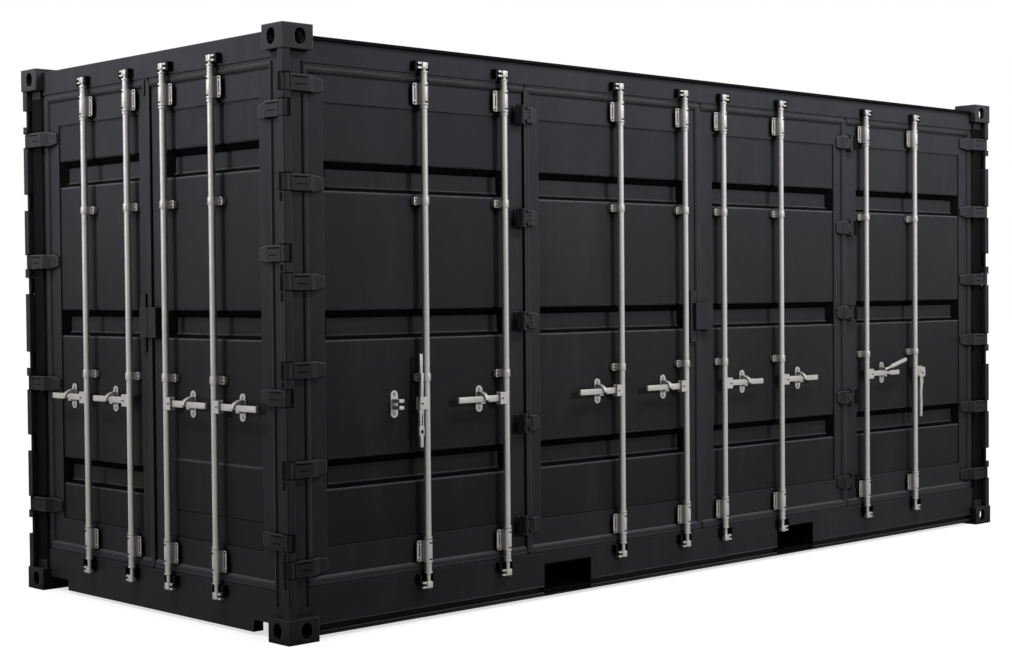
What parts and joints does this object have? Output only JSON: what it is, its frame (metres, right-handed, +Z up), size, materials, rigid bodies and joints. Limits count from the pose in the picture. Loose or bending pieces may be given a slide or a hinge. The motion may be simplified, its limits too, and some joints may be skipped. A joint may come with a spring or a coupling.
{
  "type": "shipping container",
  "caption": "Steel high cube shipping container with hinged end doors and folding doors along one side, closed by lock rods with handles, on corner castings with fork pockets.",
  "frame": {"origin": "bottom centre of the box around the container", "axes": "+X along the length from the hinged end doors to the closed end, -Y towards the folding side doors, +Z up"},
  "size_m": [6.058, 2.438, 2.896],
  "materials": {
    "painted_frame": "charcoal paint",
    "painted_sheet": "charcoal paint on pressed sheet",
    "cast_steel": "charcoal paint on rough castings",
    "hinge_steel": "charcoal paint on forgings",
    "black_steel": "black paint",
    "underframe": "bitumen coated steel",
    "door_seal": "matt rubber",
    "galvanised": "galvanised steel",
    "plywood": "sealed plywood"
  },
  "bodies": {
    "container": {"bottom_castings": "cast_steel", "top_castings": "cast_steel", "post_door_near": "painted_frame", "post_door_far": "painted_frame", "post_front_near": "painted_frame", "post_front_far": "painted_frame", "end_header": "painted_frame", "end_sill": "painted_frame", "front_top_rail": "painted_frame", "front_bottom_rail": "painted_frame", "door_side_top_rail": "painted_frame", "door_side_bottom_rail": "painted_frame", "wall_side_top_rail": "painted_frame", "wall_side_bottom_rail": "painted_frame", "side_wall": "painted_sheet", "front_wall": "painted_sheet", "roof_sheet": "painted_sheet", "roof_corner_plates": "painted_frame", "floor_boards": "plywood", "cross_members": "underframe", "fork_pockets": "underframe", "end_cam_keepers": "black_steel", "side_cam_keepers": "black_steel", "side_leaf_1_frame": "painted_frame", "side_leaf_2_frame": "painted_frame", "side_leaf_3_frame": "painted_frame", "side_leaf_4_frame": "painted_frame", "side_leaf_1_panel": "painted_sheet", "side_leaf_2_panel": "painted_sheet", "side_leaf_3_panel": "painted_sheet", "side_leaf_4_panel": "painted_sheet", "side_seals": "door_seal", "side_post_hinges": "hinge_steel", "side_fold_hinges": "hinge_steel", "side_lock_rods": "galvanised", "side_handles": "galvanised", "side_lock_brackets": "galvanised", "side_handle_catches": "galvanised", "side_lock_box": "painted_frame"},
    "far_end_door": {"far_leaf_frame": "painted_frame", "far_leaf_panel": "painted_sheet", "far_leaf_seal": "door_seal", "far_leaf_hinges": "hinge_steel", "far_leaf_lock_rods": "galvanised", "far_leaf_handles": "galvanised", "far_leaf_brackets": "galvanised", "far_leaf_lock_box": "painted_frame"},
    "near_end_door": {"near_leaf_frame": "painted_frame", "near_leaf_panel": "painted_sheet", "near_leaf_seal": "door_seal", "near_leaf_hinges": "hinge_steel", "near_leaf_lock_rods": "galvanised", "near_leaf_handles": "galvanised", "near_leaf_brackets": "galvanised", "near_leaf_lock_box": "painted_frame"}
  },
  "joints": [
    {"name": "far_door_swing", "type": "hinge", "parent": "container", "child": "far_end_door", "pos_m": [-3.002, 1.192, 1.49], "axis": [0, 0, -1], "range_deg": [0, 255]},
    {"name": "near_door_swing", "type": "hinge", "parent": "container", "child": "near_end_door", "pos_m": [-3.002, -1.192, 1.49], "axis": [0, 0, 1], "range_deg": [0, 255]}
  ]
}
